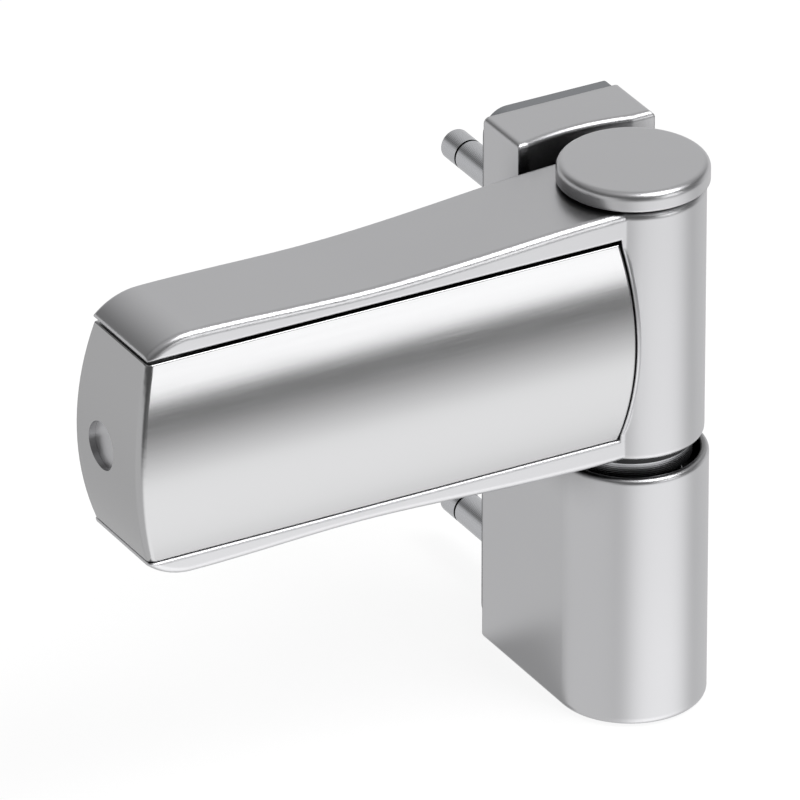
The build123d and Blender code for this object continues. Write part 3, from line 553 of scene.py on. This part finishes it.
class HINGE_OT_stage(bpy.types.Operator):
    """White floor, reflection tent, painted shadow card, softbox, key light, world and camera"""

    bl_idname = "hinge.stage"
    bl_label = "Stage"

    def execute(self, context):
        scene = context.scene
        look = scene.hinge_stage
        ground = UNDERSIDE - FLOOR_DROP
        white = linear(look.floor_colour)

        # Floor: white to the camera, with the hinge's soft shadow. Reflections see the tent instead
        material, tree = blank("floor_white")
        glow = add(tree, "ShaderNodeEmission", {"Color": white, "Strength": FLOOR_GLOW})
        soft = add(
            tree, "ShaderNodeBsdfDiffuse", {"Color": [FLOOR_SHADED * c for c in white[:3]] + [1.0]}
        )
        shown = add(
            tree, "ShaderNodeAddShader", {0: glow.outputs["Emission"], 1: soft.outputs["BSDF"]}
        )
        plain = add(
            tree, "ShaderNodeBsdfDiffuse", {"Color": [FLOOR_BOUNCE * c for c in white[:3]] + [1.0]}
        )
        surface = add(
            tree, "ShaderNodeMixShader",
            {0: seen(tree), 1: plain.outputs["BSDF"], 2: shown.outputs["Shader"]},
        )
        add(tree, "ShaderNodeOutputMaterial", {"Surface": surface.outputs["Shader"]})
        bm = bmesh.new()
        bmesh.ops.create_circle(bm, cap_ends=True, segments=96, radius=look.floor_radius)
        bmesh.ops.translate(bm, verts=bm.verts[:], vec=(0, 0, ground))
        floor = mesh_object("floor", bm, material)
        floor.visible_glossy = False
        floor.visible_shadow = False

        # Tent around the stage, only in reflections
        material, tree = blank("studio_tent")
        place = add(tree, "ShaderNodeTexCoord", {}).outputs["Object"]
        toward = add(
            tree, "ShaderNodeVectorMath", {0: place}, operation="NORMALIZE"
        ).outputs["Vector"]
        height = add(tree, "ShaderNodeSeparateXYZ", {"Vector": toward}).outputs["Z"]
        level = add(
            tree, "ShaderNodeVectorMath", {0: place, 1: (1.0, 1.0, 0.0)}, operation="MULTIPLY"
        ).outputs["Vector"]
        level = add(
            tree, "ShaderNodeVectorMath", {0: level}, operation="NORMALIZE"
        ).outputs["Vector"]
        side = add(
            tree, "ShaderNodeVectorMath", {0: level, 1: TENT_BRIGHT}, operation="DOT_PRODUCT"
        ).outputs["Value"]
        # Its wall is bright on one side and greyer straight behind
        sweep = add(
            tree, "ShaderNodeMapRange",
            {"Value": side, "From Min": 0.45, "From Max": 1.0, "To Min": 0.68, "To Max": 1.36},
            interpolation_type="SMOOTHSTEP",
        ).outputs["Result"]
        rear = add(
            tree, "ShaderNodeMapRange",
            {"Value": side, "From Min": -0.97, "From Max": -0.85, "To Min": 0.84, "To Max": 1.0},
        ).outputs["Result"]
        # The bright side dims upwards to the horizon, which gives the cover its dark band
        front = add(
            tree, "ShaderNodeMapRange", {"Value": side, "From Min": 0.2, "From Max": 0.7},
            interpolation_type="SMOOTHSTEP",
        ).outputs["Result"]
        rise = add(
            tree, "ShaderNodeMapRange",
            {"Value": height, "From Min": -0.52, "From Max": -0.14, "To Min": 0.0, "To Max": 0.88},
        ).outputs["Result"]
        dim = add(
            tree, "ShaderNodeMath", {0: front, 1: rise}, operation="MULTIPLY"
        ).outputs["Value"]
        dim = add(tree, "ShaderNodeMath", {0: 1.0, 1: dim}, operation="SUBTRACT").outputs["Value"]
        # Above the wall it is dark, apart from the panel, which the tops show, and a dim crown
        top = add(
            tree, "ShaderNodeMapRange",
            {"Value": height, "From Min": 0.2, "From Max": 0.38,
             "To Min": 1.0, "To Max": TENT_DARK},
        ).outputs["Result"]
        behind = add(
            tree, "ShaderNodeVectorMath", {0: toward, 1: TENT_PANEL}, operation="DOT_PRODUCT"
        ).outputs["Value"]
        panel = add(
            tree, "ShaderNodeMapRange",
            {"Value": behind, "From Min": 0.6, "From Max": 1.0,
             "To Min": TENT_DARK, "To Max": 0.615},
        ).outputs["Result"]
        crown = add(
            tree, "ShaderNodeMapRange",
            {"Value": height, "From Min": 0.65, "From Max": 0.95,
             "To Min": TENT_DARK, "To Max": 0.4},
        ).outputs["Result"]
        bright = sweep
        for part, operation in (
            (rear, "MULTIPLY"), (dim, "MULTIPLY"), (top, "MULTIPLY"),
            (panel, "MAXIMUM"), (crown, "MAXIMUM"),
        ):
            bright = add(
                tree, "ShaderNodeMath", {0: bright, 1: part}, operation=operation
            ).outputs["Value"]
        glow = add(tree, "ShaderNodeEmission", {"Color": white, "Strength": bright})
        add(tree, "ShaderNodeOutputMaterial", {"Surface": glow.outputs["Emission"]})
        bm = bmesh.new()
        bmesh.ops.create_uvsphere(
            bm, u_segments=96, v_segments=48, radius=look.floor_radius * TENT_SIZE
        )
        tent = mesh_object("studio_tent", bm, material)
        only_reflected(tent)

        # Dark card on the floor beside the housing, only in reflections: a painted shadow that
        # stands in for the hinge's own shadow on the floor and shades the foot of the housing's flat
        # side
        low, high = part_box("frame_housing")
        edge = high.y - CARD_SHORT
        back = edge + CARD_FADE
        tip = low.y - low.x - CARD_LEAD  # the round front's radius is -low.x
        material, tree = blank("painted_shadow_card")
        place = add(tree, "ShaderNodeTexCoord", {}).outputs["Object"]
        depth = add(tree, "ShaderNodeSeparateXYZ", {"Vector": place}).outputs["Y"]
        fade = add(
            tree, "ShaderNodeMapRange",
            {"Value": depth, "From Min": edge - CARD_FADE, "From Max": back},
            interpolation_type="SMOOTHSTEP",
        )
        dark = add(tree, "ShaderNodeEmission", {"Color": white, "Strength": PAINTED_SHADOW_GLOW})
        clear = add(tree, "ShaderNodeBsdfTransparent", {})
        surface = add(
            tree, "ShaderNodeMixShader",
            {0: fade.outputs["Result"], 1: dark.outputs["Emission"], 2: clear.outputs["BSDF"]},
        )
        add(tree, "ShaderNodeOutputMaterial", {"Surface": surface.outputs["Shader"]})
        corners = ((low.x, tip), (low.x, back), (low.x - (back - tip) / CARD_SLOPE, back))
        bm = bmesh.new()
        bmesh.ops.contextual_create(
            bm, geom=[bm.verts.new((x, y, ground + CARD_LIFT)) for x, y in corners]
        )
        card = mesh_object("painted_shadow_card", bm, material)
        only_reflected(card)

        # Low softbox ahead on the right, and a key light overhead
        for name, power, width, depth, spot, aim in (
            ("softbox", look.softbox_power, 0.42, 0.28, (0.325, -0.731, 0.15), (-0.03, -0.03, 0.03)),
            ("key_light", look.key_power, 0.3, 0.3, (0.15, -0.25, 0.5), (-0.02, -0.02, 0.0)),
        ):
            lamp = bpy.data.lights.new(name, "AREA")
            lamp.shape = "RECTANGLE"
            lamp.size = width
            lamp.size_y = depth
            lamp.energy = power
            holder = bpy.data.objects.new(name, lamp)
            holder.location = spot
            turn_towards(holder, aim)
            scene.collection.objects.link(holder)

        # World: white where it is seen, an even grey fill on everything else
        world = bpy.data.worlds.new("studio")
        world.use_nodes = True
        tree = world.node_tree
        tree.nodes.clear()
        fill = add(tree, "ShaderNodeBackground", {"Color": white, "Strength": WORLD_FILL})
        backdrop = add(tree, "ShaderNodeBackground", {"Color": white, "Strength": 1.0})
        both = add(
            tree, "ShaderNodeMixShader",
            {0: seen(tree), 1: fill.outputs["Background"], 2: backdrop.outputs["Background"]},
        )
        add(tree, "ShaderNodeOutputWorld", {"Surface": both.outputs["Shader"]})
        scene.world = world

        # Camera at the photograph's angle
        camera = bpy.data.cameras.new("camera")
        camera.lens = look.camera_lens
        camera.clip_start = 0.05
        camera.clip_end = 50.0
        holder = bpy.data.objects.new("camera", camera)
        holder.location = look.camera_place
        turn_towards(holder, look.camera_aim)
        scene.collection.objects.link(holder)
        scene.camera = holder
        scene.view_settings.view_transform = "Standard"
        return {"FINISHED"}


class HINGE_PT_panel(bpy.types.Panel):
    """Buttons and values for the hinge's looks"""

    bl_idname = "HINGE_PT_panel"
    bl_label = "Door Hinge"
    bl_space_type = "VIEW_3D"
    bl_region_type = "UI"
    bl_category = "Hinge"

    def draw(self, context):
        layout = self.layout
        for group in (context.scene.hinge_finishes, context.scene.hinge_stage):
            box = layout.box()
            for name in group.__annotations__:
                box.prop(group, name)
        for step in OPERATORS:
            layout.operator(step.bl_idname)


OPERATORS = (
    HINGE_OT_castings,
    HINGE_OT_cover,
    HINGE_OT_plug,
    HINGE_OT_plate,
    HINGE_OT_turned,
    HINGE_OT_zinc,
    HINGE_OT_polymer,
    HINGE_OT_stage,
)
CLASSES = (HingeFinishes, HingeStage, *OPERATORS, HINGE_PT_panel)


def register():
    for item in CLASSES:
        bpy.utils.register_class(item)
    bpy.types.Scene.hinge_finishes = bpy.props.PointerProperty(type=HingeFinishes)
    bpy.types.Scene.hinge_stage = bpy.props.PointerProperty(type=HingeStage)


def unregister():
    del bpy.types.Scene.hinge_stage
    del bpy.types.Scene.hinge_finishes
    for item in reversed(CLASSES):
        bpy.utils.unregister_class(item)


def main():
    register()
    bpy.ops.hinge.castings()
    bpy.ops.hinge.cover()
    bpy.ops.hinge.plug()
    bpy.ops.hinge.plate()
    bpy.ops.hinge.turned()
    bpy.ops.hinge.zinc()
    bpy.ops.hinge.polymer()
    bpy.ops.hinge.stage()


if __name__ == "__main__":
    main()
